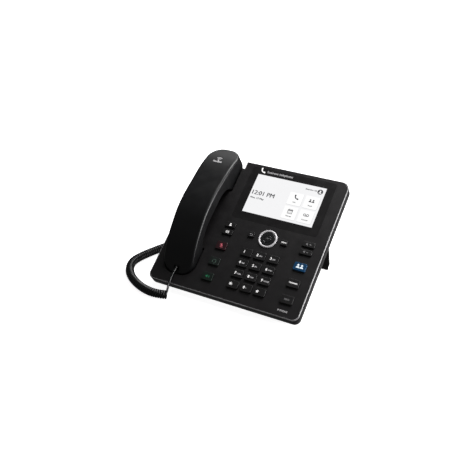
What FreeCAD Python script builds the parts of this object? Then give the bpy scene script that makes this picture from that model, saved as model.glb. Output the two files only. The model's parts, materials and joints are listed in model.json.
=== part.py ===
import FreeCAD, Part
import Sketcher
import math
import os
import re

from FreeCAD import Placement, Rotation, Vector

# Desk IP phone: a tilted desk unit on a folding stand, with a lift-off handset on a curly cord.
#
# Most sub-parts are drawn in the face frame: u runs to the right from the middle of the face, v runs up
# the face from its front edge, and w points out of the face. FACE places that frame in the phone's own
# frame, in which +Z is up, +Y points to the back and the phone stands on the plane z = 0.

SIZES = {
    # the desk unit
    "face_width": 232.5, "face_depth": 218, "corner_radius": 9, "back_radius": 12, "side_depth": 16, "tilt": 34,
    "front_y": -95.8, "front_z": 14, "wall": 2.2, "top_plate": 3, "split_depth": 7, "heel_round": 1.6,
    "trim_width": 1.2, "trim_depth": 1.1, "trim_chamfer": 0.75, "trim_gap": 0.05,
    # the belly under it, with the pocket that the stand folds into
    "belly_depth": 22, "belly_half": 108, "belly_front": 28, "belly_back": 205, "belly_slope": 16, "belly_heel": 6,
    "pocket_half": 104.3, "pocket_front": 61, "pocket_back": 153, "pocket_floor": 15.5, "pocket_skin": 2,
    "vent_v": 172, "vent_width": 2, "vent_length": 16, "vent_pitch": 5,
    # the notch and the two recesses of the cradle
    "notch_left": -105, "notch_right": -46.5, "notch_front": 205.5, "cradle_u": -77.4,
    "recess_depth": 7, "mouth_front": 15.9, "mouth_back": 65, "mouth_half": 25.8, "mouth_round": 21,
    "ear_front": 162.5, "ear_half": 27.6, "ear_round": 3,
    "grille_v": 112, "grille_length": 28, "grille_slot": 1.6, "grille_pitch": 4,
    # the display
    "lens_left": -34.1, "lens_right": 98.7, "lens_front": 123.6, "lens_back": 212.5, "lens_radius": 5,
    "lens_pocket": 1.5, "lens_gap": 0.1, "screen_u": 32.3, "screen_v": 169.1, "screen_width": 108,
    "screen_height": 64.8, "window_margin": 4, "lcd_depth": 3.5, "lcd_margin": 10, "bracket_margin": 16,
    "bracket_thick": 1.4,
    # the keys
    "key_rise": 2.2, "key_root": 5.2, "key_flange": 1.2, "key_rim": 0.9, "key_gap": 0.25,
    "key_radius": 1.8, "key_edge": 0.5,
    "dial_u": 32.3, "dial_v": 75.4, "dial_pitch_u": 20.3, "dial_pitch_v": 16.8,
    "dial_width": 16.5, "dial_height": 11.6, "left_u": -28.2, "right_u": 92.3,
    "left_width": 16, "right_width": 18, "soft_height": 12, "slim_height": 7.8, "nav_u": 32.8, "nav_v": 103.5,
    "side_key_u": 25.2, "side_key_width": 10, "side_key_height": 8,
    "pair_top_v": 110, "pair_low_v": 98, "third_v": 75.3, "fourth_v": 50, "fifth_v": 25.6,
    # the navigation cluster
    "ring_outer": 13.8, "ring_inner": 10.9, "ring_rise": 1.7, "ring_sink": 1.2, "ring_round": 1.2, "pad_outer": 10.4,
    "pad_inner": 5.7, "pad_rise": 1.1, "pad_sink": 3.4, "ok_radius": 5.1, "ok_rise": 1.7,
    "pivot_outer": 9, "pivot_inner": 6.2, "pivot_top": 4.3, "pivot_bottom": 5.3,
    # boards and inner parts
    "board_left": -44, "board_right": 104.5, "board_front": 10, "board_back": 182,
    "board_top": 8.6, "board_thick": 1.6, "mat_top": 7, "mat_thick": 1.3, "dome_rise": 0.5, "dome_radius": 2.6,
    "speaker_radius": 19, "speaker_top": 3.4, "speaker_rim": 2.5, "speaker_bottom": 12.9, "magnet_radius": 10.5,
    "mic_u": 60, "mic_w": -10.5, "mic_radius": 3, "mic_length": 4.5, "mic_hole": 0.8,
    "switch_width": 14, "switch_depth": 8, "switch_height": 3.4, "switch_gap": 0.4,
    # the alcove at the back of the belly, and the sockets that open into it, centred on one line
    "alcove_left": -20, "alcove_right": 91, "alcove_front": 196, "alcove_roof": 10, "alcove_skin": 1.6,
    "port_w": -14.9, "port_height": 9.4, "port_length": 13, "port_gap": 0.2, "port_cut": 6,
    "rj45_width": 11.7, "rj45_height": 7.2, "rj45_pitch": 17, "rj45_u": 37,
    "rj9_width": 7.8, "rj9_height": 6.6, "headset_u": -8, "dc_u": 78, "dc_radius": 3, "dc_pin": 0.95,
    # the handset cord's socket in the belly
    "cord_port_u": -92, "cord_port_v": 176, "plug_width": 7.6, "plug_height": 5.6, "plug_length": 12.5,
    "plug_gap": 0.3, "cord_port_depth": 10.2,
    # screws, feet and wall holes
    "screw_u": 110.9, "screw_front": 12, "screw_middle": 108, "screw_back": 203, "screw_shank": 1.2,
    "screw_head": 2.5, "head_height": 1.5, "drive_length": 2.6, "drive_width": 0.7, "boss_radius": 3.1,
    "wall_hole": 2.25, "wall_rim": 2, "wall_boss": 8, "wall_spacing": 80, "wall_v": 172,
    "foot_u": 88, "foot_width": 26, "foot_front": 3.5, "foot_back": 14,
    # the stand, in its own frame: length down from the hinge, thickness across
    "hinge_v": 147, "hinge_w": 18.5, "leg_half": 103.6, "leg_thick": 4, "leg_lean": 16.8,
    "barrel_radius": 2.7, "pin_radius": 1.5, "pin_gap": 0.05, "pin_u": 103, "pin_length": 11,
    "pad_thick": 3, "leg_window_half": 42,
    "leg_window_top": 22, "leg_window_bottom": 58, "leg_foot_width": 34, "leg_foot_u": 84,
    # the handset
    "grip_half": 24.4, "grip_front": 17.3, "grip_back": 224.5, "grip_corner": 20, "grip_wall": 2.2,
    "ear_end_half": 25.4, "ear_end_corner": 22, "flare_from": 150, "flare_to": 190, "flare_round": 200,
    "cup_depth": 6.7, "shoulder": 3.5, "cup_edge": 1, "ear_v": 196, "mouth_v": 44, "jack_v": 26.5,
    "jack_w": 2.6, "doorway_front": 21.5, "ear_hole": 1.1, "mouth_hole": 0.9,
    "receiver_radius": 15, "receiver_back": 9, "capsule_radius": 4.8, "capsule_height": 4, "capsule_lift": 1.2,
    "capsule_shift": 3.2, "slot_gap": 0.4, "jack_length": 7.5, "jack_setback": 8,
    "hook_u": -64, "hook_v": 176, "hook_half": 4, "hook_gap": 0.3,
    # the cord
    "wire_radius": 1.55, "coil_radius": 6.5, "boot_radius": 1.8, "boot_end": 17.0,
}
# The handset's side outline in v and w: along its underside from front to back, along its top from back
# to front, and the line on which its two shells part. The ends reach past the plan's outline.
UNDERSIDE = [(10, -6.7), (57, -6.7), (72, 13.5), (96, 18.5), (142, 17.6), (160, 11), (169, -6.7), (235, -6.7)]
TOPSIDE = [(235, 8.2), (187, 29), (130, 37.4), (100, 37.2), (56.5, 25), (10, -5.64)]
PARTING = [(5, -10), (56, 11), (74, 20.5), (98, 25.5), (136, 25), (180, 16), (235, 2)]
# The cord's route, from the handset plug to the desk unit: x, y and z in the phone's own frame.
LEAD = [(-78.2, -84.57, 27.49), (-78.2, -88.59, 24.77), (-78.0, -94.8, 20.6), (-77.2, -100.9, 16.2),
        (-76.6, -106.8, 12.6), (-76.0, -114.8, 8.4)]
# Where the boot leaves the handset plug and where it points, in u, v and w.
BOOT = [(-77.9, 27, 3.4), (-78.26, 15, 5.5)]
COIL = [(-71.5, -112.2, 6.8), (-85.0, -117.0, 6.8), (-104.0, -116.8, 6.8), (-129.0, -107.8, 6.8),
        (-152.0, -91.3, 6.8), (-166.5, -66.3, 6.8), (-161.5, -41.8, 6.8), (-149.5, -14.3, 6.8),
        (-139.0, 7.2, 6.8), (-132.5, 30.2, 6.8), (-126.0, 50.2, 6.8)]
TAIL = [(-126.0, 50.2, 6.8), (-121.0, 63.2, 8.0), (-114.0, 74.7, 16.0), (-105.5, 81.7, 30.0),
        (-98.5, 82.7, 48.0), (-93.5, 78.8, 65.0), (-92.0, 71.6, 80.4), (-92.0, 63.8, 92.0)]
ROUTE_FILL = 0.45  # the share of the shorter run that an arc takes up
DOORWAY_LENGTH = 18
WEIGHT = (26, 46, 6, 95, 25)  # its width, length and height, and where it starts in v and w
EAR_HOLES = 8
EAR_HOLE_RINGS = (4.0, 8.0)
SCREW_PLACES = [(side, row) for side in (-1, 1) for row in ("front", "middle", "back")]

DIAL = ["1", "2", "3", "4", "5", "6", "7", "8", "9", "star", "0", "hash"]

doc = FreeCAD.newDocument("desk_phone")
sheet = doc.addObject("Spreadsheet::Sheet", "sheet")
nodes = {}


def fill_sheet():
    for row, (alias, number) in enumerate(SIZES.items(), 1):
        sheet.set(f"A{row}", alias)
        sheet.set(f"B{row}", str(number))
        sheet.setAlias(f"B{row}", alias)
    doc.recompute()


def size(alias):
    return float(getattr(sheet, alias))


def bound(words):
    """An expression with every alias in it pointed at the sheet."""
    return re.sub(r"[a-z][a-z0-9_]*", lambda m: f"sheet.{m[0]}" if m[0] in SIZES else m[0], str(words))


def bind(thing, **expressions):
    for name, words in expressions.items():
        thing.setExpression(name.replace("__", "."), bound(words))
    return thing


def block(name, u, v, w, du, dv, dw):
    """A box whose lowest corner is at u, v, w."""
    made = doc.addObject("Part::Box", name)
    bind(made, Length=du, Width=dv, Height=dw)
    return bind(made, Placement__Base__x=u, Placement__Base__y=v, Placement__Base__z=w)


def middle_block(name, u, v, w, du, dv, dw):
    """A box centred on u and v, standing on w."""
    return block(name, f"{u} - ({du}) / 2", f"{v} - ({dv}) / 2", w, du, dv, dw)


def disc(name, radius, u, v, w, height):
    made = doc.addObject("Part::Cylinder", name)
    bind(made, Radius=radius, Height=height)
    return bind(made, Placement__Base__x=u, Placement__Base__y=v, Placement__Base__z=w)


def lying(made, axis):
    """Turns a cylinder so that it runs along +v or +u from its place."""
    turn = Rotation(Vector(1, 0, 0), -90) if axis == "v" else Rotation(Vector(0, 1, 0), 90)
    made.Placement = Placement(made.Placement.Base, turn)
    return made


def cut(name, base, *tools):
    made = doc.addObject("Part::Cut", name)
    made.Base = base
    made.Tool = tools[0] if len(tools) == 1 else join(f"{name}_tools", *tools)
    return made


def join(name, *shapes):
    made = doc.addObject("Part::MultiFuse", name)
    made.Shapes = list(shapes)
    return made


def overlap(name, first, second):
    made = doc.addObject("Part::Common", name)
    made.Base = first
    made.Tool = second
    return made


def group(name, *shapes):
    made = doc.addObject("Part::Compound", name)
    made.Links = list(shapes)
    return made


def upright(edge):
    ends = edge.Vertexes
    return len(ends) == 2 and (ends[0].Point - ends[1].Point).cross(Vector(0, 0, 1)).Length < 1e-6


def level_at(height):
    def test(edge):
        return all(abs(point.Z - height) < 1e-6 for point in edge.Vertexes)
    return test


def soften(name, base, radius, pick, kind="Fillet"):
    """Rounds or chamfers the edges of base that pick chooses."""
    doc.recompute()
    made = doc.addObject(f"Part::{kind}", name)
    made.Base = base
    chosen = [i for i, edge in enumerate(base.Shape.Edges, 1) if pick(edge)]
    made.Edges = [(i, worth(radius), worth(radius)) for i in chosen]
    return made


def plan(name, inset, low, height):
    """A slab with the face's outline, drawn in by inset, from w = low."""
    slab = block(f"{name}_box", f"{inset} - face_width / 2", inset, low,
                 f"face_width - 2 * ({inset})", f"face_depth - 2 * ({inset})", height)
    front = soften(f"{name}_front", slab, "corner_radius", lambda edge: upright(edge) and at_front(edge))
    return soften(name, front, "back_radius", lambda edge: upright(edge) and not at_front(edge))


def at_front(edge):
    """Whether an edge lies in the front half of the face."""
    return edge.Vertexes[0].Y < size("face_depth") / 2


def side_profile(name, points, half):
    """A body with a bound side outline (v, w), drawn on the body's YZ plane and padded both ways along u."""
    body = doc.addObject("PartDesign::Body", name)
    sketch = body.newObject("Sketcher::SketchObject", f"{name}_sketch")
    plane = next(f for f in body.Origin.OriginFeatures if f.Role == "YZ_Plane")
    sketch.AttachmentSupport = (plane, "")
    sketch.MapMode = "FlatFace"
    values = [(worth(v), worth(w)) for v, w in points]
    for i, start in enumerate(values):
        end = values[(i + 1) % len(values)]
        sketch.addGeometry(Part.LineSegment(Vector(*start, 0), Vector(*end, 0)), False)
    for i, (v, w) in enumerate(points):
        constrain(sketch, "Coincident", i, 2, (i + 1) % len(points), 1)
        for kind, words in (("DistanceX", v), ("DistanceY", w)):
            constrain(sketch, kind, -1, 1, i, 1, values[i][kind == "DistanceY"], words=words)
    pad = body.newObject("PartDesign::Pad", f"{name}_pad")
    pad.Profile = sketch
    pad.Midplane = True
    bind(pad, Length=f"2 * ({half})")
    return body


def constrain(sketch, kind, *facts, words=None):
    """Adds a constraint, and binds it where it has a size."""
    index = sketch.addConstraint(Sketcher.Constraint(kind, *facts))
    if words is not None:
        sketch.setExpression(f"Constraints[{index}]", bound(words))


def worth(words):
    """The number that an expression of aliases comes to."""
    numbers = re.sub(r"[a-z][a-z0-9_]*", lambda m: f"({size(m[0])})", str(words))
    return FreeCAD.Units.Quantity(numbers).Value


def rectangle(body, name, width, height, level):
    """A bound rectangle about the body's own axis, at height level."""
    sketch = body.newObject("Sketcher::SketchObject", name)
    plane = next(f for f in body.Origin.OriginFeatures if f.Role == "XY_Plane")
    sketch.AttachmentSupport = (plane, "")
    sketch.MapMode = "FlatFace"
    bind(sketch, AttachmentOffset__Base__z=level)
    x, y = worth(width) / 2, worth(height) / 2
    corners = [(-x, -y), (x, -y), (x, y), (-x, y)]
    for i, corner in enumerate(corners):
        following = corners[(i + 1) % 4]
        sketch.addGeometry(Part.LineSegment(Vector(*corner, 0), Vector(*following, 0)), False)
    for i in range(4):
        constrain(sketch, "Coincident", i, 2, (i + 1) % 4, 1)
        constrain(sketch, ("Horizontal", "Vertical")[i % 2], i)
    constrain(sketch, "Symmetric", 0, 1, 2, 1, -1, 1)
    constrain(sketch, "DistanceX", 0, 1, 0, 2, 2 * x, words=width)
    constrain(sketch, "DistanceY", 1, 1, 1, 2, 2 * y, words=height)
    return sketch


def pad_up(body, sketch, length):
    pad = body.newObject("PartDesign::Pad", f"{sketch.Name}_pad")
    pad.Profile = sketch
    return bind(pad, Length=length)


def smooth(body, base, radius, pick):
    doc.recompute()
    made = body.newObject("PartDesign::Fillet", f"{base.Name}_round")
    made.Base = (base, [f"Edge{i}" for i, edge in enumerate(base.Shape.Edges, 1) if pick(edge)])
    return bind(made, Radius=radius)


def keep(label, made, place=None):
    """Makes an object a sub-part of the phone, in the face frame unless a place is given.

    A lone primitive is held by its expressions, so it is placed inside a compound.
    """
    if made.TypeId in ("Part::Box", "Part::Cylinder"):
        made = group(f"{label}_whole", made)
    made.Label = label
    made.Placement = (FACE if place is None else place) * made.Placement
    nodes[label] = made
    return made


# ---- the keys ----

def key_places():
    """Name: (u, v, width, height), each an expression."""
    places = {}
    for i, word in enumerate(DIAL):
        row, column = divmod(i, 3)
        places[f"key_{word}"] = (f"dial_u + {column - 1} * dial_pitch_u", f"dial_v - {row} * dial_pitch_v",
                                 "dial_width", "dial_height")
    rows = [("pair_top_v", "slim_height"), ("pair_low_v", "slim_height"), ("third_v", "soft_height"),
            ("fourth_v", "soft_height"), ("fifth_v", "soft_height")]
    left = ["contacts_key", "voicemail_key", "mute_key", "headset_key", "speaker_key"]
    right = ["volume_up_key", "volume_down_key", "meeting_key", "transfer_key", "hold_key"]
    for names, u, width in ((left, "left_u", "left_width"), (right, "right_u", "right_width")):
        for name, (v, height) in zip(names, rows):
            places[name] = (u, v, width, height)
    places["back_key"] = ("nav_u - side_key_u", "nav_v", "side_key_width", "side_key_height")
    places["menu_key"] = ("nav_u + side_key_u", "nav_v", "side_key_width", "side_key_height")
    return places


def make_key(name, u, v, width, height):
    """A rounded key cap on a wider flange that holds it under the face."""
    body = doc.addObject("PartDesign::Body", name)
    flange = rectangle(body, f"{name}_flange", f"{width} + 2 * key_rim", f"{height} + 2 * key_rim", "-key_root")
    pad_up(body, flange, "key_flange")
    cap = rectangle(body, f"{name}_cap", width, height, "key_flange - key_root")
    pad = pad_up(body, cap, "key_rise + key_root - key_flange")
    above = size("key_flange") - size("key_root") + 1e-6
    sides = smooth(body, pad, "key_radius",
                   lambda e: upright(e) and max(p.Z for p in e.Vertexes) > above)
    smooth(body, sides, "key_edge", level_at(size("key_rise")))
    body.Placement = Placement(Vector(worth(u), worth(v), 0), Rotation())
    keep(name, body)


# ---- the desk unit ----

def key_holes():
    for name, (u, v, width, height) in key_places().items():
        hole = middle_block(f"{name}_hole", u, v, "-top_plate - 1", f"{width} + 2 * key_gap",
                            f"{height} + 2 * key_gap", "top_plate + 2")
        yield soften(f"{name}_opening", hole, "key_radius", upright)


def recess(name, cup, back, grow, low, high):
    """A block over the recess for one of the handset's cups, grown by grow, between two depths."""
    room = block(f"{name}_block", f"cradle_u - {cup}_half - ({grow})", f"{cup}_front - ({grow})", low,
                 f"2 * ({cup}_half + {grow})", f"{back} - {cup}_front + 2 * ({grow})", f"{high} - ({low})")
    middle = worth(f"({back} + {cup}_front) / 2")
    return soften(name, room, f"{cup}_round + {grow}", lambda edge: upright(edge) and edge.Vertexes[0].Y < middle)


def notch(name, grow, low, height):
    """The slot in the back edge behind the handset's ear end."""
    return block(name, f"notch_left - ({grow})", f"notch_front - ({grow})", low,
                 f"notch_right - notch_left + 2 * ({grow})", f"face_depth - notch_front + 2 * ({grow})", height)


def port_holes():
    """Cuts through the alcove's front wall for the sockets."""
    for i in (-1, 1):
        yield middle_block(f"hole_rj45_{i + 1}", f"rj45_u + {i} * rj45_pitch / 2", "alcove_front",
                           "port_w - (rj45_height + port_gap) / 2", "rj45_width + port_gap", "port_cut",
                           "rj45_height + port_gap")
    yield middle_block("hole_rj9", "headset_u", "alcove_front", "port_w - (rj9_height + port_gap) / 2",
                       "rj9_width + port_gap", "port_cut", "rj9_height + port_gap")
    yield lying(disc("hole_dc", "dc_radius + port_gap / 2", "dc_u", "alcove_front - port_cut / 2", "port_w",
                     "port_cut"), "v")


def edge_band(name, grow):
    """The band round the face that the trim fills, broken where the ear end's recess meets the notch."""
    outer = cut(f"{name}_outer", plan(f"{name}_plan", "0", "-trim_depth", "trim_depth"),
                notch(f"{name}_notch", "0", "-side_depth", "2 * side_depth"))
    inner = cut(f"{name}_inner", plan(f"{name}_core", f"trim_width + {grow}", "-2 * trim_depth", "3 * trim_depth"),
                notch(f"{name}_rim", f"trim_width + {grow}", "-side_depth", "2 * side_depth"))
    gap = recess(f"{name}_gap", "ear", "(notch_front + 1)", "0", "-recess_depth", "1")
    return cut(name, outer, inner, gap)


def screw_place(side, row):
    return f"{side} * screw_u", f"screw_{row}"


def make_upper_housing():
    shell = cut("upper_shell", plan("upper_block", "0", "-split_depth", "split_depth"),
                plan("upper_hollow", "wall", "-split_depth - 1", "split_depth + 1 - top_plate"))
    bosses = [disc(f"upper_boss_{i}", "screw_head", *screw_place(*place), "-split_depth",
                   "split_depth - top_plate / 2") for i, place in enumerate(SCREW_PLACES)]
    notch_wall = overlap("notch_wall", notch("notch_wall_block", "wall", "-split_depth", "split_depth"),
                         plan("notch_wall_plan", "0", "-split_depth", "split_depth"))
    solid = join("upper_solid", shell, *bosses, notch_wall,
                 recess("mouth_tub", "mouth", "mouth_back", "wall", "-recess_depth - wall", "-1"),
                 recess("ear_tub", "ear", "(notch_front - wall)", "wall", "-recess_depth - wall", "-1"))
    slots = [middle_block(f"grille_{i}", "cradle_u", f"grille_v + {i - 3} * grille_pitch", "-top_plate - 1",
                          "grille_length", "grille_slot", "top_plate + 2") for i in range(7)]
    pilots = [disc(f"pilot_{i}", "screw_shank", *screw_place(*place), "-split_depth - 1",
                   "split_depth - 1.5") for i, place in enumerate(SCREW_PLACES)]
    lens = soften("lens_pocket_shape", block(
        "lens_pocket_box", "lens_left", "lens_front", "-lens_pocket", "lens_right - lens_left",
        "lens_back - lens_front", "2 * lens_pocket"), "lens_radius", upright)
    window = middle_block("window", "screen_u", "screen_v", "-top_plate - 1", "screen_width + window_margin",
                           "screen_height + window_margin", "top_plate + 2")
    hook = middle_block("hook_hole", "hook_u", "hook_v", "-recess_depth - wall - 1", "2 * (hook_half + hook_gap)",
                        "2 * (hook_half + hook_gap)", "wall + 3")
    made = cut("upper_cut", solid, *key_holes(), *slots, *pilots, lens, window, hook,
               edge_band("trim_seat", "trim_gap"), notch("upper_notch", "0", "-side_depth", "2 * side_depth"),
               recess("mouth_recess", "mouth", "mouth_back", "0", "-recess_depth", "1"),
               recess("ear_recess", "ear", "(notch_front + 1)", "0", "-recess_depth", "1"),
               disc("nav_hole", "ring_inner", "nav_u", "nav_v", "-top_plate - 1", "top_plate + 2"),
               disc("ring_seat", "ring_outer + 0.05", "nav_u", "nav_v", "-ring_sink", "ring_sink + 1"))
    keep("upper_housing", made)


def make_lower_housing():
    belly = side_profile("belly", belly_points("0"), "belly_half")
    hollow = side_profile("belly_hollow", belly_points("wall"), "belly_half - wall")
    sides = soften("lower_sides", plan("lower_plan", "0", "-side_depth", "side_depth - split_depth"),
                   "heel_round", level_at(-size("side_depth")))
    shell = cut("lower_shell", join("lower_block", sides, belly),
                plan("lower_hollow", "wall", "wall - side_depth", "side_depth - split_depth"), hollow)
    bosses = [disc(f"lower_boss_{i}", "boss_radius", *screw_place(*place), "0.5 - side_depth",
                   "side_depth - split_depth - 0.6") for i, place in enumerate(SCREW_PLACES)]
    notch_wall = overlap("lower_notch_wall", notch("lower_notch_block", "wall", "-side_depth",
                                                   "side_depth - split_depth"),
                         plan("lower_notch_plan", "0", "-side_depth", "side_depth"))
    pocket_tub = block("pocket_tub", "-pocket_half - 3", "pocket_front - pocket_skin", "0.1 - belly_depth",
                       "2 * (pocket_half + 3)", "pocket_back - pocket_front + 2 * pocket_skin",
                       "belly_depth - pocket_floor + pocket_skin - 0.1")
    wall_bosses = [disc(f"wall_boss_{i}", "wall_hole + wall_rim", f"{i} * wall_spacing / 2", "wall_v",
                        "0.1 - belly_depth", "wall_boss") for i in (-1, 1)]
    alcove_tub = block("alcove_tub", "alcove_left - wall", "alcove_front - wall", "wall / 2 - belly_depth",
                       "alcove_right - alcove_left + 2 * wall", "face_depth - alcove_front + wall",
                       "belly_depth - wall / 2 - alcove_roof + alcove_skin")
    alcove_plan = plan("alcove_plan", "0", "-side_depth", "side_depth")
    alcove = overlap("alcove_wall", alcove_tub, join("alcove_limits", alcove_plan, belly))
    solid = join("lower_solid", shell, *bosses, notch_wall, pocket_tub, *wall_bosses, alcove)
    pocket = block("pocket", "-pocket_half", "pocket_front", "-belly_depth - 1", "2 * pocket_half",
                   "pocket_back - pocket_front", "belly_depth + 1 - pocket_floor")
    screw_holes = [disc(f"screw_hole_{i}", "screw_shank + 0.3", *screw_place(*place), "-side_depth - 1",
                        "side_depth") for i, place in enumerate(SCREW_PLACES)]
    head_holes = [disc(f"head_hole_{i}", "screw_head + 0.3", *screw_place(*place), "-side_depth - 1", "3")
                  for i, place in enumerate(SCREW_PLACES)]
    wall_holes = [disc(f"wall_hole_{i}", "wall_hole", f"{i} * wall_spacing / 2", "wall_v", "-belly_depth - 1",
                       "wall_boss - 0.5")
                  for i in (-1, 1)]
    cord_port = middle_block("cord_port_hole", "cord_port_u", "cord_port_v", "-belly_depth - 1",
                             "plug_width + 1", "plug_height + 1", "wall + 2")
    pin_bore = lying(disc("pin_bore", "pin_radius", "-belly_half - 1", "hinge_v", "-hinge_w",
                          "2 * belly_half + 2"), "u")
    vents = [middle_block(f"vent_{i + 4}", f"{i} * vent_pitch", "vent_v", "-belly_depth - 1", "vent_width",
                          "vent_length", "wall + 2") for i in range(-4, 5)]
    mic_hole = lying(disc("mic_hole", "mic_hole", "mic_u", "-1", "mic_w", "wall + 3"), "v")
    alcove_room = block("alcove_room", "alcove_left", "alcove_front", "-belly_depth - 1",
                        "alcove_right - alcove_left", "face_depth - alcove_front + 1",
                        "belly_depth + 1 - alcove_roof")
    made = cut("lower_cut", solid, pocket, *screw_holes, *head_holes, *wall_holes, cord_port, pin_bore, mic_hole,
               *vents,
               *port_holes(), alcove_room, notch("lower_notch", "0", "-2 * side_depth", "3 * side_depth"),
               recess("ear_clearance", "ear", "(notch_front + 1)", "wall + 0.1", "-recess_depth - wall - 0.1", "1"))
    keep("lower_housing", made)


def belly_points(inset):
    """The belly's side outline, drawn in by inset."""
    top = f"{inset} - side_depth + 0.5" if inset != "0" else "0.5 - side_depth"
    return [(f"belly_front + {inset}", top), (f"belly_front + {inset}", f"{inset} - side_depth"),
            (f"belly_front + belly_slope + {inset} / 2", f"{inset} - belly_depth"),
            (f"belly_back - belly_heel - {inset} / 2", f"{inset} - belly_depth"),
            (f"belly_back - {inset}", f"{inset} - side_depth"), (f"belly_back - {inset}", top)]


def make_trim():
    band = edge_band("trim_band", "0")
    made = soften("trim_soft", band, "trim_chamfer", outer_top_edge, "Chamfer")
    keep("edge_trim", made)


def outer_top_edge(edge):
    """Whether an edge of the trim lies on the face's outline, at the top, away from the notch."""
    if not level_at(0)(edge):
        return False
    half, depth = size("face_width") / 2, size("face_depth")
    middle = edge.valueAt((edge.FirstParameter + edge.LastParameter) / 2)
    low = size("corner_radius" if at_front(edge) else "back_radius")
    straight = abs(abs(middle.x) - half) < 1e-3 or min(abs(middle.y), abs(middle.y - depth)) < 1e-3
    corner = Vector(half - low - abs(middle.x), max(low - middle.y, middle.y - depth + low), 0)
    return straight or abs(corner.Length - low) < 1e-3 and corner.x < 0 < corner.y


def make_display():
    lens = soften("lens_shape", block(
        "lens_box", "lens_left + lens_gap", "lens_front + lens_gap", "0.05 - lens_pocket",
        "lens_right - lens_left - 2 * lens_gap", "lens_back - lens_front - 2 * lens_gap",
        "lens_pocket - 0.1"), "lens_radius", upright)
    keep("display_lens", lens)
    module = middle_block("module_box", "screen_u", "screen_v", "-top_plate - 0.1 - lcd_depth",
                          "screen_width + lcd_margin", "screen_height + lcd_margin", "lcd_depth")
    keep("lcd_module", module)
    plate = middle_block("bracket_plate", "screen_u", "screen_v", "-top_plate - lcd_depth - bracket_thick - 0.2",
                         "screen_width + bracket_margin", "screen_height + bracket_margin", "bracket_thick")
    openings = [middle_block(f"bracket_window_{i}", f"screen_u + {i} * screen_width / 4", "screen_v",
                             "-top_plate - lcd_depth - 2", "screen_width / 2 - 10", "screen_height - 14", "3")
                for i in (-1, 1)]
    keep("lcd_bracket", cut("bracket", plate, *openings))


def make_inner_parts():
    board = block("board_box", "board_left", "board_front", "-board_top - board_thick",
                  "board_right - board_left", "board_back - board_front", "board_thick")
    keep("main_board", board)
    mat = block("mat_sheet", "board_left + 4", "12", "-mat_top - mat_thick", "board_right - board_left - 2",
                "lens_front - 14", "mat_thick")
    domes = [disc(f"dome_{name}", "dome_radius", u, v, "-mat_top - 0.2", "dome_rise + 0.2")
             for name, (u, v, _, _) in key_places().items()]
    domes.append(disc("dome_ok", "dome_radius", "nav_u", "nav_v", "-mat_top - 0.2", "dome_rise + 0.2"))
    keep("keypad_membrane", join("mat", mat, *domes))
    rim = disc("speaker_rim", "speaker_radius", "cradle_u", "grille_v", "-speaker_top - speaker_rim", "speaker_rim")
    magnet = disc("speaker_magnet", "magnet_radius", "cradle_u", "grille_v", "-speaker_bottom",
                  "speaker_bottom - speaker_top - 1")
    keep("loudspeaker", join("speaker", rim, magnet))
    capsule = lying(disc("mic_capsule", "mic_radius", "mic_u", "wall + 0.2", "mic_w", "mic_length"), "v")
    keep("microphone", capsule)
    body = middle_block("switch_body", "hook_u", "hook_v", "-belly_depth + wall + 0.2", "switch_width",
                        "switch_depth", "switch_height")
    keep("hook_switch", body)


def socket_block(name, u, width):
    """A socket's housing, standing against the alcove's front wall."""
    return middle_block(name, u, "alcove_front - wall - port_length / 2", "port_w - port_height / 2", width,
                        "port_length", "port_height")


def cavity(name, u, width, height):
    """The hollow of a socket, open towards the alcove."""
    return middle_block(name, u, "alcove_front - wall - port_length / 2 + 1", f"port_w - {height} / 2", width,
                        "port_length", height)


def make_sockets():
    """The sockets that open into the alcove, and the handset cord's socket in the belly."""
    network = socket_block("network_body", "rj45_u", "2 * rj45_pitch - 1.5")
    cavities = [cavity(f"network_cavity_{i + 1}", f"rj45_u + {i} * rj45_pitch / 2", "rj45_width", "rj45_height")
                for i in (-1, 1)]
    keep("network_jacks", cut("network", network, *cavities))
    headset = socket_block("headset_body", "headset_u", "rj9_width + 4")
    keep("headset_jack", cut("headset", headset, cavity("headset_cavity", "headset_u", "rj9_width", "rj9_height")))
    power = socket_block("power_body", "dc_u", "10")
    barrel = lying(disc("power_bore", "dc_radius", "dc_u", "alcove_front - wall - 9.5", "port_w", "10"), "v")
    pin = lying(disc("power_pin", "dc_pin", "dc_u", "alcove_front - wall - 10", "port_w", "8"), "v")
    keep("power_jack", join("power", cut("power_shell", power, barrel), pin))
    port = middle_block("cord_port_body", "cord_port_u", "cord_port_v", "wall - belly_depth",
                        "plug_width + 4", "plug_height + 4", "cord_port_depth")
    slot = middle_block("cord_port_slot", "cord_port_u", "cord_port_v", "-belly_depth", "plug_width + plug_gap",
                        "plug_height + plug_gap", "cord_port_depth + 0.8")
    keep("handset_port", cut("cord_port", port, slot))


def make_fixings():
    shanks = []
    for i, place in enumerate(SCREW_PLACES):
        u, v = screw_place(*place)
        head = disc(f"head_{i}", "screw_head", u, v, "-side_depth + 0.4", "head_height")
        shank = disc(f"shank_{i}", "screw_shank", u, v, "-side_depth + 1", "side_depth - 4")
        drive = middle_block(f"drive_{i}", u, v, "-side_depth", "drive_length", "drive_width", "1.1")
        cross = middle_block(f"cross_{i}", u, v, "-side_depth", "drive_width", "drive_length", "1.1")
        shanks.append(cut(f"screw_{i}", join(f"screw_blank_{i}", head, shank), drive, cross))
    keep("housing_screws", group("screws", *shanks))
    pins = [lying(disc(f"pin_{i}", "pin_radius", f"{i} * pin_u - pin_length / 2", "hinge_v", "-hinge_w",
                       "pin_length"), "u")
            for i in (-1, 1)]
    keep("stand_hinge_pins", group("pins", *pins))
    feet = []
    for i in (-1, 1):
        foot = side_profile(f"foot_{i + 1}", foot_points(), "foot_width / 2")
        foot.Placement = Placement(Vector(i * size("foot_u"), 0, 0), Rotation())
        feet.append(foot)
    keep("front_feet", group("feet", *feet))


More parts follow.
